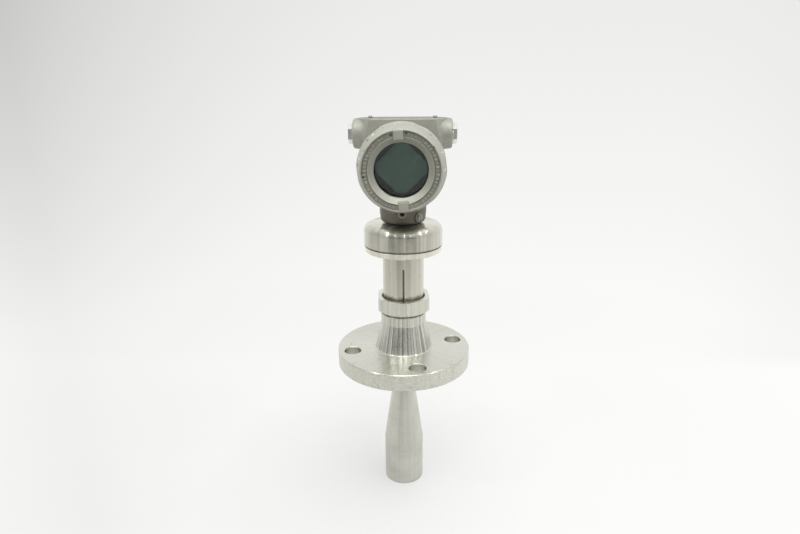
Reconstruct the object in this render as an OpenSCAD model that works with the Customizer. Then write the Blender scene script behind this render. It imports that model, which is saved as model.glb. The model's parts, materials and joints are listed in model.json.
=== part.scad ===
// Radar level transmitter with a flanged process connection and a cone antenna.
// The origin is the centre of the flange's sealing face, and +Z runs up through the head.
// The head's window looks along -Y. Its two cable ports open along -X and +X.

/* [Flange] */
// Outside diameter of the flange plate
flange_d = 152.4; // [150:0.2:160]
// Thickness of the plate above the raised face
flange_t = 19; // [16:0.5:24]
// Diameter of the raised sealing face
raised_face_d = 92; // [80:1:96]
// Height of the raised sealing face
raised_face_h = 1.6; // [1:0.1:3]
// Diameter of the bolt circle
bolt_circle_d = 120.65; // [118:0.05:124]
// Diameter of a bolt hole
bolt_hole_d = 19.05; // [16:0.05:20]
// Turn of the bolt holes about the vertical axis
bolt_turn = 16; // [0:1:45]
// Diameter of the hub's cone where it meets the plate
hub_base_d = 64; // [58:1:68]
// Diameter of the hub's cylindrical neck
hub_neck_d = 51.2; // [50.8:0.1:52]
// Height of the hub's cone above the plate
hub_cone_h = 32; // [26:1:34]

/* [Antenna] */
// Length of the antenna below the sealing face
antenna_len = 155.4; // [140:0.2:180]
// Outside diameter of the antenna's mouth
antenna_mouth_d = 46.3; // [40:0.1:48]
// Length of the cylindrical end at the mouth
antenna_end_len = 54.8; // [40:0.2:70]
// Outside diameter of the antenna where it enters the flange
antenna_throat_d = 22.4; // [20:0.2:24]
// Wall thickness of the antenna
antenna_wall = 1.5; // [1.2:0.1:2]

/* [Sleeve and nut] */
// Outside diameter of the slotted sleeve
sleeve_d = 45.8; // [44:0.1:46]
// Wall thickness of the slotted sleeve
sleeve_wall = 1.6; // [1.2:0.1:1.8]
// Width of a slot
slot_w = 2.2; // [1:0.1:3]
// Height of the slots' upper end above the sealing face
slot_top_z = 120.2; // [100:0.2:128]
// Number of slots around the sleeve
slot_count = 4; // [2:1:6]
// Turn of the first slot away from the front
slot_turn = 2; // [0:1:20]
// Distance across the nut's flats
nut_flats = 57.2; // [56:0.2:60]
// Diameter to which the nut's corners are turned down
nut_corner_d = 63.2; // [62:0.2:64]
// Height of the nut
nut_h = 17; // [15:0.2:18]
// Turn of the nut's corners about the vertical axis
nut_turn = 4; // [0:0.5:60]

/* [Sensor module] */
// Height of the module's underside above the sealing face
module_z = 136.6; // [134:0.2:150]
// Outside diameter of the drum-shaped cap
cap_d = 86.7; // [84:0.1:90]
// Height of the cap
cap_h = 24; // [22:0.2:30]
// Radius of the rounding at the cap's upper edge
cap_round = 8; // [4:0.5:9]
// Thickness of the base disc under the cap
base_disc_t = 6.4; // [5:0.2:9]
// Height of the groove between the base disc and the cap
groove_h = 1; // [0.6:0.1:2]

/* [Head] */
// Gap between the cap and the underside of the housing's neck
neck_gap = 1.8; // [1.6:0.2:6]
// Outside diameter of the housing's neck
neck_d = 50.7; // [49:0.1:53]
// Height of the cover axis above the sealing face
cover_axis_z = 232.6; // [230:0.2:240]
// Outside diameter of the housing's barrel
barrel_d = 85; // [84:0.5:88]
// Half the length of the barrel
barrel_half = 34.5; // [33:0.5:36]
// Height of the port axis above the cover axis
port_rise = 30.6; // [30:0.2:32]
// Outside diameter of a cable port boss
port_d = 30.8; // [29:0.2:32]
// Distance from the middle to the end of a port boss
port_half = 51.6; // [50:0.2:56]
// Height of the head's flat top above the cover axis
head_top_rise = 46.6; // [46:0.1:48]

/* [Covers] */
// Outside diameter of a cover's skirt
cover_d = 90.5; // [90:0.1:94]
// Depth of a wrench flat on the skirt
cover_flat_depth = 0.6; // [0.4:0.1:1]
// Distance from the middle of the head to the front cover's face
front_face_h = 66; // [65:0.5:68]
// Distance from the middle of the head to the rear cover's face
rear_face_h = 53; // [51:0.5:56]
// Diameter of the window opening
window_d = 53.8; // [50:0.2:55]
// Turn of the lugs and flats about the cover axis
cover_turn = 4; // [0:1:20]

/* [Hidden] */
$fn = 96;
eps = 0.01;
run_gap = 0.3;                                   // clearance between parts that turn in each other

// Heights along the vertical axis
flange_top_z = raised_face_h + flange_t;
hub_cone_top_z = flange_top_z + hub_cone_h;
hub_shoulder_z = hub_cone_top_z + 13.5;
spigot_top_z = hub_shoulder_z + 10;
nut_z = hub_shoulder_z + 0.6;
nut_top_z = nut_z + nut_h;
socket_z = 40;                                   // floor of the socket inside the hub
tube_foot_h = 5;
sleeve_z = socket_z + tube_foot_h + 0.1;
base_top_z = module_z + base_disc_t;
cap_z = base_top_z + groove_h;
cap_top_z = cap_z + cap_h;
neck_z = cap_top_z + neck_gap;
port_z = cover_axis_z + port_rise;
head_top_z = cover_axis_z + head_top_rise;

// Radii of the parts that nest in the hub
throat_r = antenna_throat_d / 2;
throat_len = 17.4;                               // straight part of the throat below the face
collar_r = 15;                                   // collar that seats the antenna in the flange
collar_h = 3;
seal_head_r = 14;
sleeve_r = sleeve_d / 2;
sleeve_bore_r = sleeve_r - sleeve_wall;
socket_r = sleeve_r + run_gap;
spigot_r = 25.2;
tube_r = sleeve_bore_r - 0.9;
tube_bore_r = 11;
cap_r = cap_d / 2;
cap_wall = 3;
cap_bore_r = cap_r - cap_wall;
stub_r = 18;                                     // threaded stub between cap and neck

// Thread and seal sizes shared by the housing and its covers
thread_r = 37.5;
thread_bore_r = thread_r + run_gap;
spigot_len = 14.7;                               // length of a cover's threaded spigot
cover_seat_h = barrel_half + 0.2;
cover_bore_r = 33;
ring_r = 1.4;                                    // half the thickness of a cover's O-ring
ring_mid_r = thread_r + ring_r;
ring_pocket = 3.2;
compartment_r = 36;
front_wall_y = -12;                              // front face of the wall between compartments
rear_wall_y = -6;                                // rear face of that wall
port_thread_r = 10.2;
lock_drop = 49.2;                                // lock screw axis below the cover axis
lock_half = 31;                                  // distance from the middle to the lock boss's face
top_screw_x = 33.7;
cable_way_y = -14;
feedthrough_drop = 22;                           // wall feedthrough below the cover axis
ground_turn = 42;
ground_z = 177.6;
ground_boss_top = 26.9;
board_t = 1.6;
spacer_circle_r = 27.5;                          // circle of the spacers behind the display
post_circle_r = 31;                              // circle of the posts in the sensor module

steel = [0.74, 0.73, 0.69];
casting = [0.66, 0.65, 0.60];
rubber = [0.08, 0.08, 0.08];
ptfe = [0.93, 0.93, 0.91];
green_board = [0.10, 0.32, 0.18];
black_plastic = [0.07, 0.08, 0.08];

// Placement helpers. Turned parts are drawn with their height along the axis they turn about.
module front_axis() {
    translate([0, 0, cover_axis_z]) rotate([90, 0, 0]) children();
}

module rear_axis() {
    translate([0, 0, cover_axis_z]) rotate([-90, 0, 0]) children();
}

module each_side() {
    for (side = [0, 180])
        rotate([0, 0, side]) children();
}

module turned(profile) {
    rotate_extrude() polygon(profile);
}

module tube(r_out, r_in, h) {
    difference() {
        cylinder(r = r_out, h = h);
        translate([0, 0, -eps]) cylinder(r = r_in, h = h + 2 * eps);
    }
}

module o_ring(mid_r, half) {
    rotate_extrude() translate([mid_r, 0]) circle(r = half, $fn = 32);
}

// Quarter arc of points about a centre, for rounded edges in a profile
function arc(cx, cy, r, from, to, steps = 6) =
    [for (i = [0:steps]) let (a = from + (to - from) * i / steps) [cx + r * cos(a), cy + r * sin(a)]];

// ---------------------------------------------------------------- process connection
module flange() {
    fillet = 2.6;
    edge = 0.8;
    base_r = hub_base_d / 2;
    neck_r = hub_neck_d / 2;
    rim_r = flange_d / 2;
    color(steel) difference() {
        turned(concat(
            [[0, 0], [raised_face_d / 2, 0], [raised_face_d / 2, raised_face_h]],
            [[rim_r - edge, raised_face_h], [rim_r, raised_face_h + edge]],
            [[rim_r, flange_top_z - edge], [rim_r - edge, flange_top_z]],
            arc(base_r + fillet, flange_top_z + fillet, fillet, 270, 194),
            [[neck_r, hub_cone_top_z], [neck_r, hub_shoulder_z]],
            [[spigot_r - 1, hub_shoulder_z], [spigot_r - 1, hub_shoulder_z + 1.4]],
            [[spigot_r, hub_shoulder_z + 2.2], [spigot_r, spigot_top_z - 0.8]],
            [[spigot_r - 0.8, spigot_top_z], [0, spigot_top_z]]));
        translate([0, 0, -1]) cylinder(r = throat_r + 0.1, h = socket_z);
        translate([0, 0, -1]) cylinder(r = collar_r + 0.1, h = collar_h + 1);
        translate([0, 0, socket_z - 4]) cylinder(r = seal_head_r + 0.1, h = 5);
        translate([0, 0, socket_z]) cylinder(r = socket_r, h = spigot_top_z);
        rotate([0, 0, bolt_turn])
            for (i = [0:3])
                rotate([0, 0, i * 90]) translate([bolt_circle_d / 2, 0, 0]) bolt_hole();
    }
}

module bolt_hole() {
    chamfer = 0.6;
    r = bolt_hole_d / 2;
    translate([0, 0, -1]) cylinder(r = r, h = flange_top_z + 2);
    translate([0, 0, flange_top_z - chamfer])
        cylinder(r1 = r, r2 = r + chamfer + 0.1, h = chamfer + 0.1);
}

module cone_antenna() {
    mouth_r = antenna_mouth_d / 2;
    shoulder_z = antenna_end_len - antenna_len;
    bore_r = throat_r - antenna_wall;
    color(steel) difference() {
        turned([
            [0, -antenna_len], [mouth_r, -antenna_len], [mouth_r, shoulder_z],
            [throat_r, -throat_len], [throat_r, -4], [collar_r, -3], [collar_r, collar_h - 0.1],
            [throat_r, collar_h - 0.1], [throat_r, socket_z - 4.2], [0, socket_z - 4.2]]);
        turned([
            [0, -antenna_len - 1], [mouth_r - antenna_wall, -antenna_len - 1],
            [mouth_r - antenna_wall, shoulder_z], [bore_r, -throat_len],
            [bore_r, socket_z], [0, socket_z]]);
    }
}

// Moulded plug that closes the throat and comes to a point inside the antenna
module tank_seal() {
    plug_r = throat_r - antenna_wall - 0.1;
    color(ptfe) turned([
        [0, -46], [1.2, -45.4], [plug_r, -6], [plug_r, socket_z - 4],
        [seal_head_r, socket_z - 4], [seal_head_r, socket_z], [0, socket_z]]);
}

module tank_seal_o_ring() {
    color(rubber) translate([0, 0, socket_z + 1]) o_ring(12.6, 1);
}

// Fixed tube inside the slotted sleeve, which the sleeve turns on
module waveguide_tube() {
    color(steel) turned([
        [13.8, socket_z], [socket_r - 0.1, socket_z], [socket_r - 0.1, socket_z + tube_foot_h],
        [tube_r, socket_z + tube_foot_h], [tube_r, module_z - 4.6], [tube_r - 1, module_z - 3.6],
        [tube_bore_r, module_z - 3.6], [tube_bore_r, socket_z + 2.2], [13.8, socket_z + 2.2]]);
}

// ---------------------------------------------------------------- clamp and nut
module clamp_ring() {
    split = 3;
    color(steel) difference() {
        turned([
            [sleeve_r + run_gap, spigot_top_z + 0.1], [spigot_r, spigot_top_z + 0.1],
            [spigot_r, spigot_top_z + 1.8], [sleeve_r + 1.0, spigot_top_z + 3.6],
            [sleeve_r + run_gap, spigot_top_z + 3.6]]);
        translate([-split / 2, 0, spigot_top_z]) cube([split, sleeve_d, 5]);
    }
}

module lock_nut() {
    flat_r = nut_flats / 2;
    corner_r = nut_corner_d / 2;
    upper_h = 0.6;
    lower_h = 2.6;
    color(steel) difference() {
        intersection() {
            translate([0, 0, nut_z]) rotate([0, 0, nut_turn - 90])
                cylinder(r = flat_r / cos(30), h = nut_h, $fn = 6);
            turned([
                [0, nut_z], [flat_r - 0.6, nut_z], [corner_r, nut_z + lower_h],
                [corner_r, nut_top_z - upper_h], [corner_r - 1.2, nut_top_z], [0, nut_top_z]]);
        }
        turned([
            [0, nut_z - 1], [spigot_r + run_gap, nut_z - 1],
            [spigot_r + run_gap, spigot_top_z + 2.1], [sleeve_r + 1.3, spigot_top_z + 4],
            [sleeve_r + 1.3, nut_top_z - 1], [sleeve_r + 2.4, nut_top_z + 0.1], [0, nut_top_z + 0.1]]);
    }
}

// ---------------------------------------------------------------- sensor module
module slotted_sleeve() {
    color(steel) difference() {
        translate([0, 0, sleeve_z]) tube(sleeve_r, sleeve_bore_r, module_z - sleeve_z);
        for (i = [0:slot_count - 1])
            rotate([0, 0, i * 360 / slot_count - 90 + slot_turn]) slot();
    }
}

module slot() {
    translate([sleeve_bore_r - 1, -slot_w / 2, sleeve_z - 1])
        cube([sleeve_wall + 2, slot_w, slot_top_z - slot_w / 2 - sleeve_z + 1]);
    translate([sleeve_bore_r - 1, 0, slot_top_z - slot_w / 2])
        rotate([0, 90, 0]) cylinder(r = slot_w / 2, h = sleeve_wall + 2, $fn = 24);
}

module module_base() {
    spigot_h = 5;
    post_h = 4;
    top_r = cap_r - 0.45;
    color(steel) {
        difference() {
            turned([
                [0, module_z], [top_r - 1.8, module_z], [top_r - 0.4, module_z + 1.2],
                [top_r, base_top_z], [cap_bore_r - 0.1, base_top_z],
                [cap_bore_r - 0.1, cap_z + 1.6], [cap_bore_r - 1.8, cap_z + 1.6],
                [cap_bore_r - 1.8, cap_z + 3.6], [cap_bore_r - 0.1, cap_z + 3.6],
                [cap_bore_r - 0.1, cap_z + spigot_h], [0, cap_z + spigot_h]]);
            translate([0, 0, module_z - 1]) cylinder(r = tube_bore_r + 0.6, h = 20);
        }
        for (i = [0:3])
            rotate([0, 0, 45 + i * 90]) translate([post_circle_r, 0, cap_z + spigot_h - eps])
                cylinder(r = 3, h = post_h, $fn = 32);
    }
}

module module_cap() {
    roof = 4;
    color(steel) difference() {
        turned(concat(
            [[0, cap_z], [cap_r - 0.3, cap_z], [cap_r, cap_z + 0.3]],
            arc(cap_r - cap_round, cap_top_z - cap_round, cap_round, 0, 90, 10),
            [[stub_r, cap_top_z], [stub_r, neck_z + 9.4], [stub_r - 0.8, neck_z + 10.2]],
            [[0, neck_z + 10.2]]));
        turned(concat(
            [[0, cap_z - 1], [cap_bore_r, cap_z - 1]],
            arc(cap_bore_r - 5, cap_top_z - roof - 5, 5, 0, 90),
            [[0, cap_top_z - roof]]));
        translate([0, 0, cap_top_z - 10]) cylinder(r = 12, h = 60);
    }
}

module module_o_ring() {
    color(rubber) translate([0, 0, cap_z + 2.6]) o_ring(cap_bore_r - 0.9, 0.88);
}

module waveguide_feed() {
    color(steel) turned([
        [8.4, module_z - 14], [tube_bore_r - 0.5, module_z - 14], [tube_bore_r - 0.5, cap_z + 5],
        [tube_bore_r + 3, cap_z + 5], [tube_bore_r + 3, cap_z + 7], [8.4, cap_z + 7]]);
}

module microwave_board() {
    color(green_board) translate([0, 0, cap_z + 9]) difference() {
        cylinder(r = 36, h = board_t);
        for (i = [0:3])
            rotate([0, 0, 45 + i * 90]) translate([post_circle_r, 0, -1])
                cylinder(r = 1.6, h = 4, $fn = 24);
    }
}

module shield_can() {
    w = 38;
    d = 30;
    color(steel) translate([0, 0, cap_z + 9 + board_t]) linear_extrude(4.6)
        offset(r = 2, $fn = 24) square([w - 4, d - 4], center = true);
}

module neck_seal() {
    color(rubber) translate([0, 0, cap_top_z]) tube(19.6, stub_r + 0.05, neck_gap);
}

// ---------------------------------------------------------------- transmitter housing
// Saddle-shaped block between the two cable ports, drafted outwards towards its base.
// Each row is one corner: distance from the middle, half width, height.
arm_corners = [
    [34, 21, head_top_z], [47, 5, head_top_z],
    [38.4, 21.3, port_z], [45.9, 12, port_z], [48, 5, port_z],
    [38.4, 22, port_z - 13], [43, 9, port_z - 13]];

module arm_block() {
    soft = 0.9;
    hull()
        for (end = [-1, 1])
            for (side = [-1, 1])
                for (corner = arm_corners)
                    translate([end * (corner[0] - soft), side * (corner[1] - soft), corner[2] - soft])
                        sphere(r = soft, $fn = 16);
}

// Cable port boss that flares into the block behind it
module port_boss() {
    edge = 1.2;
    r = port_d / 2;
    intersection() {
        translate([0, 0, port_z]) rotate([0, 90, 0]) turned([
            [0, 20], [r + 5.8, 20], [r + 5.8, 36.6], [r + 3.4, 39], [r + 1.6, 42], [r + 0.5, 46],
            [r, port_half - edge], [r - edge, port_half], [0, port_half]]);
        translate([0, -50, head_top_z - 100]) cube([80, 100, 99.9]);
    }
}

module housing_neck() {
    round_r = 4;
    r = neck_d / 2;
    turned(concat(
        [[0, neck_z], [r - 0.8 - round_r, neck_z]],
        arc(r - 0.8 - round_r, neck_z + round_r, round_r, 270, 360),
        [[r, neck_z + 11], [r, neck_z + 18], [r + 5, cover_axis_z - 30], [0, cover_axis_z - 30]]));
}

module lock_boss() {
    r = 4.6;
    translate([0, -14, cover_axis_z - lock_drop]) rotate([90, 0, 0]) {
        cylinder(r = r, h = lock_half - 14);
        translate([-r, 0, 0]) cube([2 * r, 12, lock_half - 14]);
    }
}

module ground_boss() {
    translate([0, 0, ground_z]) rotate([90, 0, ground_turn]) translate([0, 0, 16])
        cylinder(r1 = 6.2, r2 = 5, h = ground_boss_top - 16);
}

module compartment(wall_h) {
    // Threaded mouth, seal pocket and plain bore of one compartment
    translate([0, 0, wall_h]) cylinder(r = compartment_r, h = barrel_half);
    translate([0, 0, barrel_half - spigot_len - 3]) cylinder(r = thread_bore_r, h = spigot_len + 5);
    translate([0, 0, barrel_half - ring_pocket])
        cylinder(r1 = ring_mid_r + ring_r + run_gap, r2 = ring_mid_r + ring_r + 0.6, h = ring_pocket + 1);
}

module transmitter_housing() {
    barrel_r = barrel_d / 2;
    color(casting) difference() {
        union() {
            front_axis() translate([0, 0, -barrel_half]) turned([
                [0, 0], [barrel_r - 0.8, 0], [barrel_r, 0.8], [barrel_r, 9], [barrel_r - 1.2, 11],
                [barrel_r - 1.2, 2 * barrel_half - 11], [barrel_r, 2 * barrel_half - 9],
                [barrel_r, 2 * barrel_half - 0.8], [barrel_r - 0.8, 2 * barrel_half],
                [0, 2 * barrel_half]]);
            arm_block();
            each_side() port_boss();
            housing_neck();
            each_side() lock_boss();
            ground_boss();
        }
        front_axis() compartment(-front_wall_y);
        rear_axis() compartment(rear_wall_y);
        // Cable ports, threaded at the mouth, opening into the rear compartment
        each_side() translate([13, 0, port_z]) rotate([0, 90, 0]) {
            cylinder(r = 8.6, h = 60);
            translate([0, 0, 22]) cylinder(r = port_thread_r, h = 40);
        }
        // Threaded socket for the sensor module, with the cable way above it
        translate([0, 0, neck_z - 1]) cylinder(r = stub_r + 0.1, h = 12);
        translate([0, 0, neck_z + 8]) cylinder(r = 14, h = 5);
        translate([0, cable_way_y, neck_z + 9]) cylinder(r = 4.5, h = 26);
        // Lock screw and ground screw holes
        each_side() translate([0, -lock_half - 1, cover_axis_z - lock_drop]) rotate([-90, 0, 0])
            cylinder(r = 2.5, h = 12);
        translate([0, 0, ground_z]) rotate([90, 0, ground_turn]) translate([0, 0, 20])
            cylinder(r = 2.1, h = 12);
        // Holes for the wall feedthrough and the two top screws
        translate([0, rear_wall_y + 1, cover_axis_z - feedthrough_drop]) rotate([90, 0, 0])
            cylinder(r = 5, h = 10);
        for (x = [-top_screw_x, top_screw_x])
            translate([x, 0, head_top_z - 6]) cylinder(r = 1.3, h = 8, $fn = 24);
    }
}

// ---------------------------------------------------------------- fittings on the housing
module cable_port_plugs() {
    head_t = 4.9;
    corner_r = 10.9;
    color(steel) each_side() translate([port_half, 0, port_z]) rotate([0, 90, 0]) {
        translate([0, 0, -14]) cylinder(r = port_thread_r - 0.15, h = 14.01);
        cylinder(r = 10.1, h = 1);
        intersection() {
            cylinder(r = corner_r, h = head_t, $fn = 6);
            cylinder(r1 = corner_r + 4, r2 = corner_r - 1, h = head_t + 0.5);
        }
    }
}

module top_screws() {
    head_r = 2.2;
    head_h = 1.7;
    color(steel) for (x = [-top_screw_x, top_screw_x])
        translate([x, 0, head_top_z]) difference() {
            union() {
                translate([0, 0, -5]) cylinder(r = 1.2, h = 5.01, $fn = 24);
                cylinder(r = head_r, h = head_h, $fn = 32);
                translate([0, 0, head_h]) cylinder(r1 = head_r, r2 = head_r - 0.8, h = 0.6, $fn = 32);
            }
            translate([-0.4, -3, head_h - 0.2]) cube([0.8, 6, 2]);
        }
}

module cover_lock_screws() {
    socket_r = 1.5;
    color(steel) each_side() translate([0, -lock_half + 0.6, cover_axis_z - lock_drop])
        rotate([-90, 0, 0]) difference() {
            cylinder(r = 2.45, h = 9);
            translate([0, 0, -eps]) cylinder(r = socket_r, h = 3, $fn = 6);
        }
}

module ground_frame() {
    translate([0, 0, ground_z]) rotate([90, 0, ground_turn]) translate([0, 0, ground_boss_top])
        children();
}

module ground_screw() {
    washer_t = 0.6;
    head_h = 1.2;
    color(steel) ground_frame() {
        translate([0, 0, -6.4]) cylinder(r = 2, h = 6.4 + washer_t + eps);
        difference() {
            translate([0, 0, washer_t]) cylinder(r1 = 3, r2 = 2.6, h = head_h);
            translate([-0.4, -4, washer_t + head_h - 0.6]) cube([0.8, 8, 1]);
        }
    }
}

module ground_washer() {
    color(steel) ground_frame() tube(3.7, 2.1, 0.6);
}

// ---------------------------------------------------------------- inside the front compartment
module display_housing() {
    depth = 14;
    front_h = 39.5;
    color(black_plastic) front_axis() translate([0, 0, front_h - depth]) difference() {
        turned([[0, 0], [29, 0], [30, 1], [30, depth - 1.2], [28.8, depth], [0, depth]]);
        translate([0, 0, depth - 2.4]) cylinder(r = 25.5, h = 5);
        translate([0, 0, -1]) cylinder(r = 26, h = 6);
    }
}

// Square panel set on its corner, with the corners cut by the round bezel
module display_panel() {
    side = 42.5;
    color([0.27, 0.35, 0.32]) front_axis() translate([0, 0, 37.1]) intersection() {
        rotate([0, 0, 45]) translate([-side / 2, -side / 2, 0]) cube([side, side, 1.2]);
        cylinder(r = 25.2, h = 1.2);
    }
}

module electronics_board() {
    color(green_board) front_axis() translate([0, 0, 17]) difference() {
        cylinder(r = 32, h = board_t);
        for (i = [0:2])
            rotate([0, 0, 90 + i * 120]) translate([spacer_circle_r, 0, -1])
                cylinder(r = 1.6, h = 4, $fn = 24);
    }
}

module board_spacers() {
    color(steel) front_axis() for (i = [0:2])
        rotate([0, 0, 90 + i * 120]) translate([spacer_circle_r, 0, -front_wall_y]) {
            cylinder(r = 2.4, h = 17 + front_wall_y, $fn = 24);
            translate([0, 0, 5]) cylinder(r = 1.5, h = 1.6, $fn = 24);
            translate([0, 0, 6.6]) cylinder(r = 2.4, h = 6.9, $fn = 24);
        }
}

// ---------------------------------------------------------------- inside the rear compartment
module feedthrough() {
    color(black_plastic) translate([0, rear_wall_y, cover_axis_z - feedthrough_drop]) rotate([90, 0, 0]) {
        cylinder(r = 4.9, h = 6);
        translate([0, 0, -2]) cylinder(r = 7, h = 2);
        translate([0, 0, 6]) cylinder(r = 3.4, h = 2.4);
    }
}

module terminal_block() {
    h = 13;
    color(black_plastic) rear_axis() translate([0, 0, rear_wall_y]) difference() {
        union() {
            intersection() {
                translate([-27, -12, 0]) cube([54, 24, h]);
                cylinder(r = 33, h = h);
            }
            intersection() {
                translate([-30, -14, 0]) cube([60, 28, 4]);
                cylinder(r = 33, h = 4);
            }
        }
        for (x = [-15, 0, 15])
            translate([x - 5, -6, h - 4]) cube([10, 20, 6]);
    }
}

module terminal_screws() {
    color(steel) rear_axis() for (x = [-15, 0, 15])
        translate([x, 0, rear_wall_y + 9]) difference() {
            cylinder(r = 3.2, h = 2.6, $fn = 32);
            translate([-0.5, -4, 1.6]) cube([1, 8, 2]);
        }
}

// ---------------------------------------------------------------- covers
// Six shallow wrench flats around the skirt
module cover_flats() {
    reach = cover_d / 2;
    for (i = [0:5])
        rotate([0, 0, cover_turn + 3 + i * 60]) translate([reach - cover_flat_depth, -20, 30])
            cube([5, 40, 60]);
}

// A lug that bridges the channel in a cover's face, for the cover wrench
module cover_lug(face_h, inner_r) {
    w = 5.4;
    draft = 0.7;
    for (side = [0, 180])
        rotate([0, 0, 90 + cover_turn + side]) translate([0, 0, face_h - 4.5])
            hull() {
                translate([inner_r, -w, 0]) cube([38.2 - inner_r, 2 * w, 0.1]);
                translate([inner_r + 0.5, -w + draft, 4.9]) cube([37.9 - inner_r, 2 * (w - draft), 0.1]);
            }
}

// Skirt and threaded spigot that both covers share, up to the step below the face
function skirt_points() = [
    [thread_r - 0.5, cover_seat_h], [cover_d / 2 - 0.5, cover_seat_h],
    [cover_d / 2, cover_seat_h + 0.5], [cover_d / 2, cover_seat_h + 8.6],
    [cover_d / 2 - 1, cover_seat_h + 10.4]];

function spigot_points() = [
    [thread_r - 1, cover_seat_h - spigot_len], [thread_r, cover_seat_h - spigot_len + 1],
    [thread_r, cover_seat_h - 3.4], [thread_r - 0.5, cover_seat_h - 2.8]];

module front_cover() {
    rim_r = 39.3;
    channel_h = front_face_h - 3.5;
    window_r = window_d / 2;
    glass_seat_h = front_face_h - 9;
    color(casting) front_axis() {
        difference() {
            turned(concat(
                [[cover_bore_r, cover_seat_h - spigot_len]], spigot_points(), skirt_points(),
                [[42.7, front_face_h - 15], [42.2, front_face_h - 13.8]],
                [[rim_r + 0.7, front_face_h - 0.8], [rim_r, front_face_h]],
                [[38.4, front_face_h], [38.0, channel_h], [33.4, channel_h]],
                [[32.5, front_face_h - 0.9], [window_r, front_face_h - 7], [window_r, glass_seat_h]],
                [[30.6, glass_seat_h], [30.6, glass_seat_h - 10], [cover_bore_r, glass_seat_h - 12]]));
            cover_flats();
        }
        difference() {
            cover_lug(front_face_h, 29.4);
            translate([0, 0, front_face_h - 12]) cylinder(r1 = 26.4, r2 = 30.2, h = 12.6);
        }
    }
}

module window_gasket() {
    color(rubber) front_axis() translate([0, 0, front_face_h - 9.8]) tube(30.4, window_d / 2 + 0.4, 0.8);
}

module window_glass() {
    color([0.75, 0.85, 0.82, 0.35]) front_axis() translate([0, 0, front_face_h - 15.8])
        turned([[0, 0], [29.9, 0], [30.3, 0.4], [30.3, 5.6], [29.9, 6], [0, 6]]);
}

module retaining_ring() {
    color(steel) front_axis() translate([0, 0, front_face_h - 18.4]) tube(30.5, 27.4, 2.6);
}

module rear_cover() {
    rim_r = 39.3;
    channel_h = rear_face_h - 2.6;
    color(casting) rear_axis() {
        difference() {
            turned(concat(
                [[0, rear_face_h - 6], [cover_bore_r - 4, rear_face_h - 6]],
                [[cover_bore_r, rear_face_h - 10], [cover_bore_r, cover_seat_h - spigot_len]],
                spigot_points(), skirt_points(),
                [[42.7, rear_face_h - 5], [rim_r + 0.7, rear_face_h - 0.8], [rim_r, rear_face_h]],
                [[38.4, rear_face_h], [38.0, channel_h], [29.4, channel_h]],
                [[28.6, rear_face_h - 0.6], [27.8, rear_face_h - 0.2], [0, rear_face_h]]));
            cover_flats();
        }
        cover_lug(rear_face_h - 0.4, 28);
    }
}

module front_cover_o_ring() {
    color(rubber) front_axis() translate([0, 0, cover_seat_h - 1.5]) o_ring(ring_mid_r, ring_r - 0.1);
}

module rear_cover_o_ring() {
    color(rubber) rear_axis() translate([0, 0, cover_seat_h - 1.5]) o_ring(ring_mid_r, ring_r - 0.1);
}

flange();
cone_antenna();
tank_seal();
tank_seal_o_ring();
waveguide_tube();
clamp_ring();
lock_nut();
slotted_sleeve();
module_base();
module_cap();
module_o_ring();
waveguide_feed();
microwave_board();
shield_can();
neck_seal();
transmitter_housing();
cable_port_plugs();
top_screws();
cover_lock_screws();
ground_screw();
ground_washer();
display_housing();
display_panel();
electronics_board();
board_spacers();
feedthrough();
terminal_block();
terminal_screws();
front_cover_o_ring();
front_cover();
window_glass();
window_gasket();
retaining_ring();
rear_cover_o_ring();
rear_cover();
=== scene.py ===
import json
import math

import bpy
from mathutils import Matrix, Vector


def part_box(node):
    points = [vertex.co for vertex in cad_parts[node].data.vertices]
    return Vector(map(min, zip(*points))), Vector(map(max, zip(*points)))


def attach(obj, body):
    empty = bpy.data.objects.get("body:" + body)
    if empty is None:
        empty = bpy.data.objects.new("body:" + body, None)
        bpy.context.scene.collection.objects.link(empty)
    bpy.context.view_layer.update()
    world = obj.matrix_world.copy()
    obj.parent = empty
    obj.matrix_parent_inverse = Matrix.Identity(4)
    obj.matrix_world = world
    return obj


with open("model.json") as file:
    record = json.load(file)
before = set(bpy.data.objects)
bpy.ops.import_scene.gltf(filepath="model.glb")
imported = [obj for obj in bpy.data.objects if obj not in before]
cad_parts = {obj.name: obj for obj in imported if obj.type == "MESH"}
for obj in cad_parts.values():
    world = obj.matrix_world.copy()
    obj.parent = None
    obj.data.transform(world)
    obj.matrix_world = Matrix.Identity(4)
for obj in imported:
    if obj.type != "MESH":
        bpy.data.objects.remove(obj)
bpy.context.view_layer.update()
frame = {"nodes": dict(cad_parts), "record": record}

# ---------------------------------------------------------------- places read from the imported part
MM = 0.001
HUB_NECK = 14.1 * MM                      # from the top of the hub's cone up to the nut
HUB_FOOT = 21 * MM                        # just above the flange's plate

floor_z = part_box("cone_antenna")[0].z
window_low, window_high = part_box("window_glass")
head_z = (window_low.z + window_high.z) / 2   # height of the head's axis, which runs along Y
front_face = -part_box("front_cover")[0].y
rear_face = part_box("rear_cover")[1].y
nut_low, nut_top = (corner.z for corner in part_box("lock_nut"))
cone_top = nut_low - HUB_NECK
cap_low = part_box("module_cap")[0].z
plate_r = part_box("flange")[1].x

# ---------------------------------------------------------------- camera, set to the photograph's angle
SENSOR_MM = 36
LENS_MM = 25.875
PITCH = math.radians(17.555)              # down from level
ROLL = math.radians(-0.35)
HEAD_TURN = math.radians(2.0)             # the camera goes round by as much as the photographed head
TURN_SLOPE = 0.035                        # the same turn as a slope
CAM_OUT = 0.61708
CAM_SIDE = -0.0037
CAM_UP = 0.31145


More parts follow.
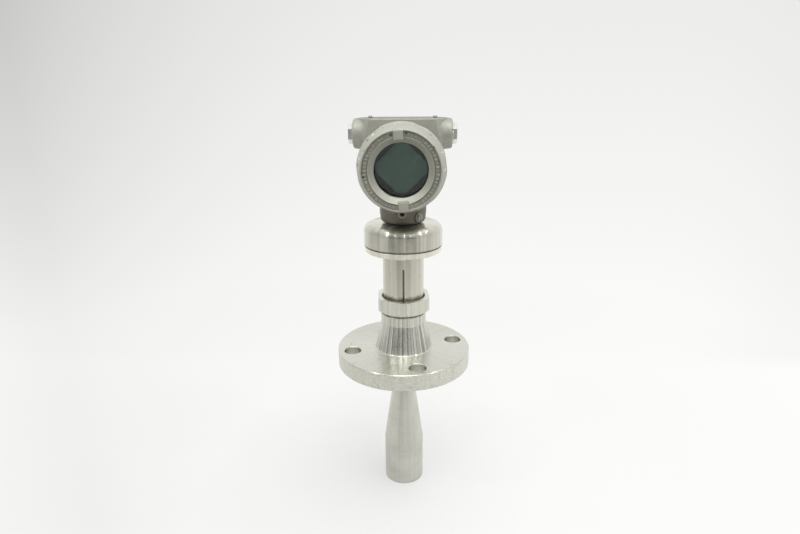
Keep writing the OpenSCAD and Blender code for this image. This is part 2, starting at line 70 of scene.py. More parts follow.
def set_camera():
    turn = Matrix.Rotation(HEAD_TURN, 4, "Z")
    camera = bpy.data.objects.new("camera", bpy.data.cameras.new("camera"))
    bpy.context.scene.collection.objects.link(camera)
    camera.data.sensor_width = SENSOR_MM
    camera.data.lens = LENS_MM
    camera.data.clip_start = 0.02
    camera.data.clip_end = 60
    camera.location = turn @ Vector((CAM_SIDE, -CAM_OUT, CAM_UP))
    look = turn @ Vector((0, math.cos(PITCH), -math.sin(PITCH)))
    aim = look.to_track_quat("-Z", "Y").to_matrix().to_4x4()
    camera.rotation_mode = "QUATERNION"
    camera.rotation_quaternion = (aim @ Matrix.Rotation(ROLL, 4, "Z")).to_quaternion()
    bpy.context.scene.camera = camera
    return camera.location.copy()


# ---------------------------------------------------------------- node helpers
# Each takes the node tree first and gives an output socket. A value may be a socket or a number.


def new_material(name):
    mat = bpy.data.materials.new(name)
    mat.use_nodes = True
    mat.node_tree.nodes.clear()
    return mat, mat.node_tree


def add(tree, kind, inputs=None, **props):
    """A node, with its properties set and its inputs linked or filled in."""
    node = tree.nodes.new("ShaderNode" + kind)
    for key, value in props.items():
        setattr(node, key, value)
    for key, value in (inputs or {}).items():
        if isinstance(value, bpy.types.NodeSocket):
            tree.links.new(value, node.inputs[key])
        else:
            node.inputs[key].default_value = value
    return node


def calc(tree, op, *values, clamp=False):
    return add(tree, "Math", dict(enumerate(values)), operation=op, use_clamp=clamp).outputs[0]


def times(tree, first, *others):
    for other in others:
        first = calc(tree, "MULTIPLY", first, other)
    return first


def rest_of(tree, share):
    return calc(tree, "SUBTRACT", 1.0, share)


def distance(tree, a, b):
    return calc(tree, "SQRT", calc(tree, "ADD", times(tree, a, a), times(tree, b, b)))


def ramp(tree, value, low, high, out_low=0.0, out_high=1.0):
    """out_low where value is low, out_high where it is high, straight between and held beyond."""
    node = add(tree, "MapRange", {0: value, 1: low, 2: high, 3: out_low, 4: out_high})
    return node.outputs[0]


def noise(tree, vector, scale, detail=2.0, rough=0.5):
    inputs = {"Vector": vector, "Scale": scale, "Detail": detail, "Roughness": rough}
    return add(tree, "TexNoise", inputs).outputs[0]


def vary(tree, pattern, middle, swing):
    """A noise pattern spread evenly to both sides of a middle value."""
    return ramp(tree, pattern, 0.3, 0.7, middle - swing, middle + swing)


def scaled(tree, vector, factor):
    return add(tree, "VectorMath", {0: vector, "Scale": factor}, operation="SCALE").outputs[0]


def split(tree, vector):
    return add(tree, "SeparateXYZ", {0: vector}).outputs


def joined(tree, x, y=0.0, z=0.0):
    return add(tree, "CombineXYZ", {0: x, 1: y, 2: z}).outputs[0]


def blend(tree, share, under, over):
    """The colour under, covered by a share of the colour over."""
    colours = [c if isinstance(c, bpy.types.NodeSocket) else (*c, 1) for c in (under, over)]
    node = add(tree, "Mix", {0: share, 6: colours[0], 7: colours[1]}, data_type="RGBA")
    return node.outputs[2]


def end_material(mat, tree, inputs):
    """Close a material with a principled shader that has these inputs."""
    shader = add(tree, "BsdfPrincipled", inputs)
    tree.links.new(shader.outputs[0], add(tree, "OutputMaterial").inputs[0])
    return mat


# ---------------------------------------------------------------- metal, built up mark by mark
# Brown of the painted shade in crevices, on upward faces and on the neck
SHADE_BROWN = (0.16, 0.14, 0.11)
# Colour of real stains, also of the painted crevice shade on the sleeve and cap
STAIN_AND_SHADE = (0.13, 0.11, 0.085)
# Colour of the flange's painted shade, in crevices and under the nut
DARK_SHADE = (0.10, 0.09, 0.07)
# Pale worn edges, which also paint highlights along the edges
EDGE_WEAR_AND_GLINT = (0.86, 0.85, 0.81)
PORE = (0.17, 0.16, 0.13)
RUBBED = (0.90, 0.90, 0.87)
# Dark nicks, also the painted shadows in the front cover's channel
NICK_AND_SHADOW = (0.075, 0.07, 0.055)
# Pale scuffs, painted as glints
SCUFF_GLINT = (0.97, 0.97, 0.95)
# Scales of the noise patterns, in waves a metre
CLOUDS = 34
PORE_GROUPS = 60
STAIN_BORDER = 90
RUBS = 150
# Patches of the painted shade in crevices
CREVICE_SHADE_PATCHES = 160
PORES = 300
MARK_BORDER = 420
SAND = 560
LATHE_RINGS = 2600
MARKS_BACK_TO = 20 * MM                   # the front cover's marks reach this far back from its face


class Metal:
    """One metal. The methods add its marks, in the order in which they stand here."""

    def __init__(self, name, colour, rough, mottle=0.06, grain=0.05, grain_size=0.9):
        self.mat, self.tree = new_material(name)
        tree = self.tree
        self.colour = colour
        self.position = add(tree, "TexCoord").outputs["Object"]
        self.x, self.y, self.z = split(tree, self.position)
        self.reach = distance(tree, self.x, self.y)
        self.large = noise(tree, self.position, CLOUDS, 4, 0.6)
        fine = noise(tree, self.position, 1 / (grain_size * MM), 3, 0.6)
        self.height = fine
        self.tone = calc(tree, "ADD", vary(tree, self.large, 1, mottle), vary(tree, fine, 0, grain))
        self.roughness = calc(tree, "ADD", vary(tree, self.large, rough, 0.05), vary(tree, fine, 0, 0.03))
        self.normal = add(tree, "Bevel", {"Radius": 0.7 * MM}, samples=4).outputs[0]
        self.middle = None
        self.patch = None

    def rings(self, depth=1.0):
        """Fine rings cut by the lathe, round the Z axis."""
        tree = self.tree
        place = joined(tree, calc(tree, "MULTIPLY_ADD", self.z, 1.31, self.reach))
        cut = noise(tree, place, LATHE_RINGS, 3, 0.7)
        self.height = calc(tree, "MULTIPLY_ADD", cut, depth, self.height)
        self.tone = calc(tree, "ADD", self.tone, vary(tree, cut, 0, 0.03 * depth))

    def streaks(self, amount, spread=5.0):
        """Painted reflections: light and dark streaks along the part, standing in for the reflections that
        turned metal draws out. A larger spread makes them narrower.
        """
        tree = self.tree
        per_reach = calc(tree, "DIVIDE", spread, calc(tree, "MAXIMUM", self.reach, 0.01 * MM))
        place = joined(tree, times(tree, self.x, per_reach), times(tree, self.y, per_reach),
                       times(tree, self.z, 0.5))
        band = ramp(tree, noise(tree, place, 2.6, 5, 0.8), 0.36, 0.64, -1.0, 1.0)
        self.tone = times(tree, self.tone, calc(tree, "MULTIPLY_ADD", band, amount, 1.0))

    def sandy_rim(self, amount):
        """Uneven blasted tone on the flange's rim."""
        tree = self.tree
        sand = ramp(tree, noise(tree, self.position, SAND, 4, 0.8), 0.38, 0.62, -amount, 1.6 * amount)
        on_rim = ramp(tree, self.reach, plate_r - 0.9 * MM, plate_r - 0.4 * MM)
        self.tone = calc(tree, "MULTIPLY_ADD", sand, on_rim, self.tone)

    def facet_middle(self):
        """On a cover's axis the mesh has no good smooth normal, so the facet's own is used there."""
        tree = self.tree
        self.cover_r = distance(tree, self.x, calc(tree, "SUBTRACT", self.z, head_z))
        self.middle = ramp(tree, self.cover_r, 7 * MM, 5 * MM)
        facet = scaled(tree, add(tree, "NewGeometry").outputs["True Normal"], self.middle)
        outer = scaled(tree, self.normal, rest_of(tree, self.middle))
        self.normal = add(tree, "VectorMath", {0: facet, 1: outer}, operation="ADD").outputs[0]

    def base(self, edge_wear_and_glint=0.25, bare=0.4, crevice_darkening=0.4, crevice_colour=SHADE_BROWN, crevice=3 * MM):
        """The metal's colour: pale along edges, with wear and painted highlights, and darker in crevices,
        where ambient occlusion paints shade.
        """
        tree = self.tree
        smooth = add(tree, "NewGeometry").outputs["Normal"]
        facing = add(tree, "VectorMath", {0: self.normal, 1: smooth}, operation="DOT_PRODUCT")
        self.edge = times(tree, ramp(tree, facing.outputs["Value"], 0.992, 0.90),
                          ramp(tree, self.large, 0.35, 0.6, bare, 1.0))
        if self.middle is not None:
            self.edge = times(tree, self.edge, rest_of(tree, self.middle))
        # Painted shade: crevices darken where ambient occlusion finds them, in uneven patches
        open_air = add(tree, "AmbientOcclusion", {"Distance": crevice}, samples=6).outputs["AO"]
        self.crevice_shade = times(tree, calc(tree, "SUBTRACT", 1.0, open_air, clamp=True),
                          ramp(tree, noise(tree, self.position, CREVICE_SHADE_PATCHES, 3), 0.3, 0.6, 0.5, 1.0))
        shade = scaled(tree, self.colour, self.tone)
        # Pale edges: partly wear, partly painted highlights
        shade = blend(tree, times(tree, self.edge, edge_wear_and_glint), shade, EDGE_WEAR_AND_GLINT)
        cover = calc(tree, "MULTIPLY", self.crevice_shade, crevice_darkening, clamp=True)
        self.shade = blend(tree, cover, shade, crevice_colour)

    def pits(self, amount, share=0.60, beyond=None):
        """Small cast pores in some places, on a cover only beyond a radius."""
        tree = self.tree
        chosen = ramp(tree, noise(tree, self.position, PORE_GROUPS, 2), share, share + 0.05)
        pit = times(tree, ramp(tree, noise(tree, self.position, PORES, 1), 0.62, 0.66), chosen)
        if beyond:
            pit = times(tree, pit, ramp(tree, self.cover_r, beyond, beyond + 1 * MM))
        self.height = calc(tree, "MULTIPLY_ADD", pit, -2.0, self.height)
        self.shade = blend(tree, times(tree, pit, amount), self.shade, PORE)

    def rubbed(self, radius):
        """Pale rubbed places on a cover beyond a radius."""
        tree = self.tree
        rub = times(tree, ramp(tree, noise(tree, self.position, RUBS, 3), 0.58, 0.68, 0.0, 0.5),
                    ramp(tree, self.cover_r, radius, radius + 0.5 * MM))
        self.shade = blend(tree, rub, self.shade, RUBBED)

    def spots(self, marks, wander):
        """Share of irregular spots at (degrees, radius, size) round the head's axis, by the front only."""
        tree = self.tree
        total = 0.0
        for degrees, radius, size in marks:
            a = math.radians(degrees)
            gap = distance(tree, calc(tree, "SUBTRACT", self.x, radius * MM * math.cos(a)),
                           calc(tree, "SUBTRACT", self.z, head_z + radius * MM * math.sin(a)))
            gap = calc(tree, "MULTIPLY_ADD", wander, size * MM, gap)
            total = calc(tree, "MAXIMUM", total, ramp(tree, gap, size * MM, 0.5 * size * MM))
        back = MARKS_BACK_TO - front_face
        return times(tree, total, ramp(tree, self.y, back + 0.5 * MM, back - 0.5 * MM))

    def marked(self, dark, bright):
        """Dark nicks and painted shadows, and pale scuffs with painted glints, at listed places."""
        tree = self.tree
        wander = vary(tree, noise(tree, self.position, MARK_BORDER, 2), 0, 0.5)
        nicks_and_shadows = times(tree, self.spots(dark, wander), 0.85)
        self.shade = blend(tree, nicks_and_shadows, self.shade, NICK_AND_SHADOW)
        self.shade = blend(tree, self.spots(bright, wander), self.shade, SCUFF_GLINT)

    def shaded_top(self, amount):
        """Painted shade: darker on the faces that look straight up."""
        tree = self.tree
        up = split(tree, add(tree, "NewGeometry").outputs["Normal"])[2]
        self.shade = blend(tree, ramp(tree, up, 0.97, 0.995, 0.0, amount), self.shade, SHADE_BROWN)

    def stain_and_shade(self, dark_z, clean_z, amount, colour, within=1.0):
        """A darker band with an uneven border, full at one height and gone at another: a real stain on the
        sleeve, painted shade under the nut and on the neck.
        """
        tree = self.tree
        wander = vary(tree, noise(tree, self.position, STAIN_BORDER, 3), 0, 0.3)
        cover = calc(tree, "ADD", ramp(tree, self.z, clean_z, dark_z), wander)
        self.patch = times(tree, ramp(tree, cover, 0.2, 0.8), amount, within)
        self.shade = blend(tree, self.patch, self.shade, colour)

    def finish(self, bump=0.15, metallic=1.0, stretch=0.0):
        """Close the material. stretch draws its highlights out along the part."""
        tree = self.tree
        roughness = calc(tree, "MULTIPLY_ADD", self.edge, -0.10, self.roughness)
        roughness = calc(tree, "MULTIPLY_ADD", self.crevice_shade, 0.15, roughness, clamp=True)
        normal = add(tree, "Bump", {"Height": self.height, "Normal": self.normal, "Strength": bump,
                                    "Distance": 0.2 * MM}).outputs[0]
        inputs = {"Base Color": self.shade, "Roughness": roughness, "Normal": normal, "Metallic": metallic}
        if stretch:
            inputs["Anisotropic"] = stretch
            inputs["Anisotropic Rotation"] = 0.25
            inputs["Tangent"] = add(tree, "Tangent", direction_type="RADIAL", axis="Z").outputs[0]
        return end_material(self.mat, tree, inputs)


# ---------------------------------------------------------------- metals of the part
STEEL = (0.71, 0.695, 0.61)
CAST = (0.60, 0.60, 0.52)
RIM_R = 43.2 * MM                         # the covers are rubbed outside this radius
NECK_R = 25.7 * MM                        # the housing's neck, without the bosses on it
NECK_SHADE = (180 * MM, 214 * MM)         # painted shade under the head: the neck is darkest at the first height and clear of it at the second
# Wear and painted light on the front cover, as (degrees, radius, size) round the head's axis, in millimetres
# Dark nicks; the two at 106 and 81 degrees, radius 35 to 36, are painted shadows in the channel
NICKS_AND_SHADOWS = ((114, 44.2, 1.0), (72, 44.2, 1.0), (49, 44.0, 1.1), (140, 43.5, 1.3), (62, 44.4, 0.8),
         (174, 43.3, 1.1), (106, 35.4, 1.9), (81, 36.0, 1.8), (-177, 37.4, 1.2), (-171, 37.0, 1.3),
         (152, 41.0, 0.8))
# Pale scuffs on the rim's worn corners, where glints are painted: painted highlights
SCUFF_GLINTS = ((130, 43.6, 1.8), (117, 44.9, 1.3), (166, 43.4, 1.7), (22, 43.8, 1.5), (-1, 43.6, 1.9),
          (-157, 44.4, 1.1), (98, 44.8, 1.4), (-28, 44.0, 1.4))


def plain_metal(name, colour, rough, bump=0.15):
    metal = Metal(name, colour, rough)
    metal.base()
    return metal.finish(bump)


def turned(name, colour, rough, painted_reflection, mottle=0.03, grain=0.02, depth=1.0, spread=5.0):
    """Metal off the lathe with painted reflection streaks, ready for its base and its stains."""
    metal = Metal(name, colour, rough, mottle, grain)
    metal.rings(depth)
    metal.streaks(painted_reflection, spread)
    return metal


def turned_metal(name, colour, rough, painted_reflection, stretch):
    metal = turned(name, colour, rough, painted_reflection)
    metal.base()
    return metal.finish(0.08, stretch=stretch)


def flange_metal():
    """Painted reflection streaks on the hub, strongest on its cone, a sandy rim and a painted shadow line
    under the nut.
    """
    metal = Metal("forged_flange", (0.72, 0.715, 0.65), 0.30, 0.03, 0.08, 1.0)
    tree = metal.tree
    metal.rings()
    on_hub = ramp(tree, metal.z, HUB_FOOT, HUB_FOOT + 1 * MM, 0.04, 0.78)
    # Painted reflection streaks: faint on the plate, strongest on the hub's cone, half as strong above it
    metal.streaks(times(tree, on_hub, ramp(tree, metal.z, cone_top, cone_top + 1 * MM, 1.0, 0.5)), 5.5)
    metal.sandy_rim(0.11)
    # Painted shade in crevices, then a painted shadow on the hub just under the nut
    metal.base(crevice_colour=DARK_SHADE)
    metal.stain_and_shade(nut_low - 1.8 * MM, nut_low - 4.2 * MM, 0.85, DARK_SHADE)
    return metal.finish(stretch=0.8)


def antenna_metal():
    metal = turned("antenna_steel", (0.75, 0.745, 0.69), 0.32, 0.06, mottle=0.12, grain=0.06, spread=3.0)
    metal.base()
    return metal.finish(0.08, stretch=0.8)


def sleeve_metal():
    """Stained where it comes out of the nut."""
    metal = turned("stained_sleeve", STEEL, 0.24, 0.12, spread=3.0)
    # Weak painted shade in crevices, then a real stain just above the nut
    metal.base(crevice_darkening=0.1, crevice_colour=STAIN_AND_SHADE)
    metal.stain_and_shade(nut_top - 1 * MM, nut_top + 6 * MM, 0.8, STAIN_AND_SHADE,
                within=ramp(metal.tree, metal.z, nut_top - 0.4 * MM, nut_top))
    return metal.finish(0.08, stretch=0.85)


def cap_metal():
    """Dark at its lower edge, where it meets the module's base."""
    metal = turned("cap_steel", STEEL, 0.21, 0.18)
    # Painted shade in crevices, then a darker band at the lower edge
    metal.base(crevice_colour=STAIN_AND_SHADE)
    metal.stain_and_shade(cap_low + 0.3 * MM, cap_low + 1.6 * MM, 0.7, STAIN_AND_SHADE)
    return metal.finish(0.08, stretch=0.98)


def nut_metal():
    metal = turned("stained_nut", (0.76, 0.75, 0.68), 0.30, 0.12, depth=0.6)
    metal.base(edge_wear_and_glint=0.5, crevice_darkening=0.1)
    return metal.finish(0.08, stretch=0.6)


def tube_metal():
    metal = Metal("dim_tube", (0.34, 0.32, 0.28), 0.5)
    metal.rings()
    metal.base()
    return metal.finish()


def housing_metal():
    """Blasted casting with painted shade on its top faces, and a neck darkened by painted shade that is more
    metallic.
    """
    metal = Metal("cast_housing", (0.54, 0.54, 0.47), 0.50, grain=0.09, grain_size=1.1)
    # Strong painted shade in the housing's crevices
    metal.base(edge_wear_and_glint=0.15, crevice_darkening=0.7, crevice=6 * MM)
    metal.pits(0.15)
    # Painted shade on the faces that look up
    metal.shaded_top(0.6)
    # Painted shade on the neck, which the head overhangs; weaker on its bosses
    metal.stain_and_shade(*NECK_SHADE, 0.8, SHADE_BROWN,
                within=ramp(metal.tree, metal.reach, NECK_R, NECK_R + 0.5 * MM, 1.0, 0.45))
    return metal.finish(0.5, metallic=ramp(metal.tree, metal.patch, 0.0, 1.0, 0.5, 0.9))


def cover_metal(name, marks=None):
    """Blasted casting with pores and rubbed places near its rim."""
    metal = Metal(name, CAST, 0.50, grain=0.08, grain_size=1.0)
    metal.facet_middle()
    # Strongly pale edges with painted highlights, and painted shade in crevices
    metal.base(edge_wear_and_glint=0.9, bare=0.1, crevice_darkening=0.6, crevice=2.5 * MM)
    metal.pits(0.9, 0.585, RIM_R - 6 * MM)
    metal.rubbed(RIM_R)
    if marks:
        metal.marked(*marks)
    return metal.finish(0.4, metallic=0.5)


# ---------------------------------------------------------------- plastics, boards and glass


def moulded(name, colour, rough, spread, gloss=0.5):
    """Plastic, rubber or lacquer: tone and gloss that vary, with a fine skin."""
    mat, tree = new_material(name)
    position = add(tree, "TexCoord").outputs["Object"]
    large = noise(tree, position, 60, 4, 0.6)
    fine = noise(tree, position, 1 / (1.2 * MM), 3, 0.6)
    tone = calc(tree, "ADD", vary(tree, large, 1, spread), vary(tree, fine, 0, spread / 2))
    edge_normal = add(tree, "Bevel", {"Radius": 0.3 * MM}, samples=4).outputs[0]
    normal = add(tree, "Bump", {"Height": fine, "Normal": edge_normal, "Strength": 0.1,
                                "Distance": 0.2 * MM}).outputs[0]
    return end_material(mat, tree, {
        "Base Color": scaled(tree, colour, tone), "Normal": normal, "Specular IOR Level": gloss,
        "Roughness": vary(tree, large, rough, 0.06)})


def clear_glass(name):
    """Toughened glass with faint smears."""
    mat, tree = new_material(name)
    position = add(tree, "TexCoord").outputs["Object"]
    smear = ramp(tree, noise(tree, position, 70, 3), 0.5, 0.75, 0.0, 0.05)
    return end_material(mat, tree, {"Base Color": (0.93, 0.97, 0.95, 1), "Roughness": smear, "IOR": 1.5,
                                    "Transmission Weight": 1.0})


def circuit(name):
    """Green board with copper tracks that show through the lacquer."""
    mat, tree = new_material(name)
    position = add(tree, "TexCoord").outputs["Object"]
    cell = add(tree, "TexVoronoi", {"Vector": position, "Scale": 420.0}, feature="F1", distance="CHEBYCHEV")
    track = ramp(tree, cell.outputs["Distance"], 0.30, 0.42)
    bricks = add(tree, "TexBrick", {"Vector": position, "Scale": 160.0, "Mortar Size": 0.03})
    shade = blend(tree, track, (0.012, 0.10, 0.045), (0.02, 0.17, 0.075))
    shade = blend(tree, times(tree, bricks.outputs["Fac"], 0.5), shade, (0.05, 0.28, 0.13))
    normal = add(tree, "Bump", {"Height": track, "Strength": 0.2, "Distance": 0.1 * MM}).outputs[0]
    return end_material(mat, tree, {"Base Color": shade, "Normal": normal,
                                    "Roughness": ramp(tree, track, 0, 1, 0.35, 0.5)})


looks = {
    "satin_steel": turned_metal("satin_steel", STEEL, 0.30, 0.14, 0.8),
    "turned_steel": turned_metal("turned_steel", STEEL, 0.21, 0.18, 0.98),
    "plug_steel": plain_metal("plug_steel", (0.97, 0.97, 0.94), 0.38, 0.1),
    "screw_steel": plain_metal("screw_steel", (0.64, 0.64, 0.60), 0.36),
    "tinned_steel": plain_metal("tinned_steel", (0.78, 0.78, 0.75), 0.28),
    "cast_housing": housing_metal(),
    "cast_cover": cover_metal("cast_cover"),
    "ptfe": moulded("ptfe", (0.86, 0.86, 0.83), 0.45, 0.03),
    "black_rubber": moulded("black_rubber", (0.022, 0.022, 0.022), 0.62, 0.2),
    "black_plastic": moulded("black_plastic", (0.012, 0.014, 0.012), 0.42, 0.15, 0.12),
    "circuit_board": circuit("circuit_board"),
    "display_glass": moulded("display_glass", (0.056, 0.122, 0.090), 0.25, 0.06, 0.2),
    "window_glass": clear_glass("window_glass"),
}
# Pieces whose finish differs from the rest of their material
special = {
    "flange": flange_metal(),
    "cone_antenna": antenna_metal(),
    "cover_lock_screws": plain_metal("dark_screw", (0.05, 0.05, 0.045), 0.6),
    "ground_washer": plain_metal("dull_washer", (0.42, 0.41, 0.36), 0.5),
    "ground_screw": plain_metal("dull_screw", (0.46, 0.45, 0.40), 0.5),
    "slotted_sleeve": sleeve_metal(),
    "front_cover": cover_metal("worn_cover", (NICKS_AND_SHADOWS, SCUFF_GLINTS)),
    "module_cap": cap_metal(),
    # Painted light: a paler copy of the turned steel, standing in for the bright floor that the disc reflects
    "module_base": turned_metal("base_disc_painted_bright", (0.97, 0.95, 0.84), 0.42, 0.10, 0.8),
    "lock_nut": nut_metal(),
    "waveguide_tube": tube_metal(),
}
for part in frame["record"]["subparts"]:
    for material_slot in frame["nodes"][part["node"]].material_slots:
        material_slot.material = special.get(part["node"], looks[part["material_slot"]])

# ---------------------------------------------------------------- threads and channel dashes
DASH_WIDTHS = (1.3 * MM, 2.3 * MM, 1.7 * MM, 2.6 * MM, 1.5 * MM)
DASH_EVERY = 6                            # degrees
DASH_TAPER = 0.22 * MM
LUG_ANGLE = 94                            # degrees; the second lug is opposite
LUG_HALF = 15                             # degrees that a lug keeps clear on each side

THREAD_R = 37.5 * MM
THREAD_HEIGHT = 0.2 * MM
THREAD_PITCH = 2 * MM
THREAD_START = 21.6 * MM                  # along the cover, from the middle of the head
THREAD_LENGTH = 9 * MM
THREAD_STEPS = 72                         # a turn
THREAD_RUNOUT = 12                        # steps over which it fades at each end
THREAD_ROOT = 0.02 * MM                   # how deep its flanks go into the spigot


def front_place(x, y, h):
    """A point at (x, y) across the front cover and h along it."""
    return (x, -h, head_z + y)


def rear_place(x, y, h):
    """The same on the rear cover."""
    return (x, h, head_z - y)


def make_piece(name, points, faces, body, slot, smooth=True):
    mesh = bpy.data.meshes.new(name)
    mesh.from_pydata(points, [], faces)
    mesh.validate()
    obj = bpy.data.objects.new(name, mesh)
    bpy.context.scene.collection.objects.link(obj)
    for polygon in mesh.polygons:
        polygon.use_smooth = smooth
    mesh.materials.append(looks[slot])
    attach(obj, body)


def cover_thread(body, place):
    """The ridge of a cover's thread, standing on its spigot."""
    points, faces = [], []
    count = int(THREAD_LENGTH / THREAD_PITCH * THREAD_STEPS)
    for i in range(count + 1):
        angle = 2 * math.pi * i / THREAD_STEPS
        mid = THREAD_START + THREAD_PITCH * i / THREAD_STEPS
        crest = THREAD_HEIGHT * min(1.0, i / THREAD_RUNOUT, (count - i) / THREAD_RUNOUT)
        for offset, rise in ((-0.42, -THREAD_ROOT), (-0.08, crest), (0.08, crest), (0.42, -THREAD_ROOT)):
            r = THREAD_R + rise
            points.append(place(r * math.cos(angle), r * math.sin(angle), mid + offset * THREAD_PITCH))
        if i:
            a, b = 4 * (i - 1), 4 * i
            faces += [(a + k, b + k, b + k + 1, a + k + 1) for k in range(3)]
            faces.append((a + 3, b + 3, b, a))
    faces += [(0, 1, 2, 3), tuple(4 * count + k for k in (3, 2, 1, 0))]
    make_piece(body + "_thread", points, faces, body, "cast_cover")


def channel_dashes(name, body, place, low_h, high_h, r_in, r_out):
    """Plain raised dashes of a few widths round a cover's channel, clear of its two lugs."""
    points, faces = [], []
    for i in range(360 // DASH_EVERY):
        angle = DASH_EVERY * i
        if min((angle - LUG_ANGLE) % 180, (LUG_ANGLE - angle) % 180) < LUG_HALF:
            continue
        half = DASH_WIDTHS[i % len(DASH_WIDTHS)] / 2
        c, s = math.cos(math.radians(angle)), math.sin(math.radians(angle))
        base = len(points)
        for h, inset in ((low_h, 0.0), (high_h, DASH_TAPER)):
            w = half - inset
            for r, across in ((r_in + inset, -w), (r_in + inset, w), (r_out - inset, w), (r_out - inset, -w)):
                points.append(place(r * c - across * s, r * s + across * c, h))
        faces += [tuple(base + k for k in face) for face in
                  ((4, 5, 6, 7), (0, 1, 5, 4), (1, 2, 6, 5), (2, 3, 7, 6), (3, 0, 4, 7), (3, 2, 1, 0))]
    make_piece(name, points, faces, body, "cast_cover", smooth=False)


channel_dashes("front_channel_ticks", "front_cover", front_place, front_face - 3.6 * MM,
               front_face - 3.0 * MM, 33.8 * MM, 37.6 * MM)
channel_dashes("rear_channel_ticks", "rear_cover", rear_place, rear_face - 2.7 * MM,
               rear_face - 2.1 * MM, 31.5 * MM, 36.5 * MM)
cover_thread("front_cover", front_place)
cover_thread("rear_cover", rear_place)

# ---------------------------------------------------------------- floor, backdrop and light
camera_place = set_camera()
FLOOR_HALF = 80.0
WALL_Y = 0.31                             # the floor's tone turns into the backdrop's here
PALE = (0.995, 1.0, 0.985)
BLACK = (0, 0, 0)
# Brightness of the studio as (degrees, tone): 0 is the camera's side, 90 its right
ROOM = (
    (-180, 0.95), (-150, 0.95), (-125, 0.80), (-105, 0.62), (-88, 0.42), (-72, 0.50), (-54, 0.50),
    (-48, 0.42), (-46, 0.80), (-44.5, 0.80), (-42, 0.38), (-32, 0.22), (-14, 0.26), (-5, 0.30),
    (1, 0.36), (3.5, 0.34), (5, 0.80), (6.5, 0.80), (8.5, 0.30), (20, 0.34), (32, 0.46),
    (60, 0.58), (72, 0.48), (90, 0.60), (112, 0.78), (135, 0.92), (180, 0.95))


def slope(tree, offset, forward):
    """Distance forward of the camera, held off zero, and the sideways slope of a place as it sees it."""
    away = calc(tree, "MAXIMUM", calc(tree, "ABSOLUTE", forward), 0.1)
    return away, calc(tree, "ADD", calc(tree, "DIVIDE", offset, away), TURN_SLOPE)


def left_fall(tree, u):
    """Grows from 0 towards the left of the photograph's field."""
    fall = calc(tree, "MAXIMUM", calc(tree, "MULTIPLY_ADD", u, -1.1, 0.235), 0.0)
    return calc(tree, "POWER", calc(tree, "MINIMUM", fall, 0.95), 2.5)


def backdrop_tone(tree, u, v, ahead):
    """Pale backdrop: a little brighter towards the floor, darker to the left and the far right."""
    v = calc(tree, "MINIMUM", calc(tree, "MAXIMUM", v, -1.0), 0.3)
    base = calc(tree, "MULTIPLY_ADD", v, -0.225, 0.878)
    fall = calc(tree, "MAXIMUM", calc(tree, "MULTIPLY_ADD", v, 0.40, 0.30), 0.12)
    right = calc(tree, "MAXIMUM", calc(tree, "MULTIPLY_ADD", u, 3.6, -1.55), 0.0)
    shadow = calc(tree, "ADD", times(tree, left_fall(tree, u), fall), times(tree, right, right, 0.045))
    return calc(tree, "MULTIPLY", base, rest_of(tree, times(tree, shadow, ahead)), clamp=True)


def ahead_of_camera(tree, u, forward, low, high):
    """1 in the photograph's field, fading to 0 outside it."""
    return times(tree, ramp(tree, calc(tree, "ABSOLUTE", u), 1.4, 0.7), ramp(tree, forward, low, high))


def room_tone(tree, x, y):
    """Brightness of the studio as metal shows it: dim behind the camera, pale all round."""
    angle = calc(tree, "ARCTAN2", x, calc(tree, "MULTIPLY", y, -1.0))
    node = add(tree, "ValToRGB", {0: ramp(tree, angle, -math.pi, math.pi)})
    node.color_ramp.interpolation = "B_SPLINE"
    stops = node.color_ramp.elements
    for i, (degrees, tone) in enumerate(ROOM):
        place = (degrees + 180) / 360
        stop = stops[i] if i < 2 else stops.new(place)
        stop.position = place
        stop.color = (tone, tone, tone, 1)
    return node.outputs[0]


def direct_view(tree, path):
    """1 for what the camera sees itself or through the glass."""
    return calc(tree, "MAXIMUM", path.outputs["Is Camera Ray"], path.outputs["Is Transmission Ray"])


def floor_as_seen(tree, x, y, r):
    """The floor before the camera: white cloth with a soft shadow, turning into the backdrop."""
    forward = calc(tree, "SUBTRACT", y, camera_place.y)
    away, u = slope(tree, calc(tree, "SUBTRACT", x, camera_place.x), forward)
    v = calc(tree, "DIVIDE", floor_z - camera_place.z, away)
    ahead = ahead_of_camera(tree, u, forward, 0.2, 0.45)
    near = rest_of(tree, times(tree, left_fall(tree, u), ahead, 0.11))
    behind = calc(tree, "MAXIMUM", times(tree, ramp(tree, y, WALL_Y - 0.03, WALL_Y + 0.03), ahead),
                  ramp(tree, r, 0.9, 3.0))
    tone = calc(tree, "ADD", times(tree, near, rest_of(tree, behind)),
                times(tree, backdrop_tone(tree, u, v, ahead), behind))
    lit_from = joined(tree, 0.5, 0.1, 0.86)
    shelter = add(tree, "AmbientOcclusion", {"Distance": 0.24, "Normal": lit_from}, samples=3)
    soft_shadow = ramp(tree, shelter.outputs["AO"], 0.60, 0.87, 0.80, 1.0)
    shade = scaled(tree, blend(tree, tone, BLACK, PALE), soft_shadow)
    cloth = add(tree, "BsdfDiffuse", {"Color": shade, "Roughness": 0.4})
    glow = add(tree, "Emission", {"Color": shade, "Strength": 1.0})
    share = ramp(tree, r, 0.35, 0.85, 0.73, 1.0)
    return add(tree, "MixShader", {0: share, 1: cloth.outputs[0], 2: glow.outputs[0]}).outputs[0]


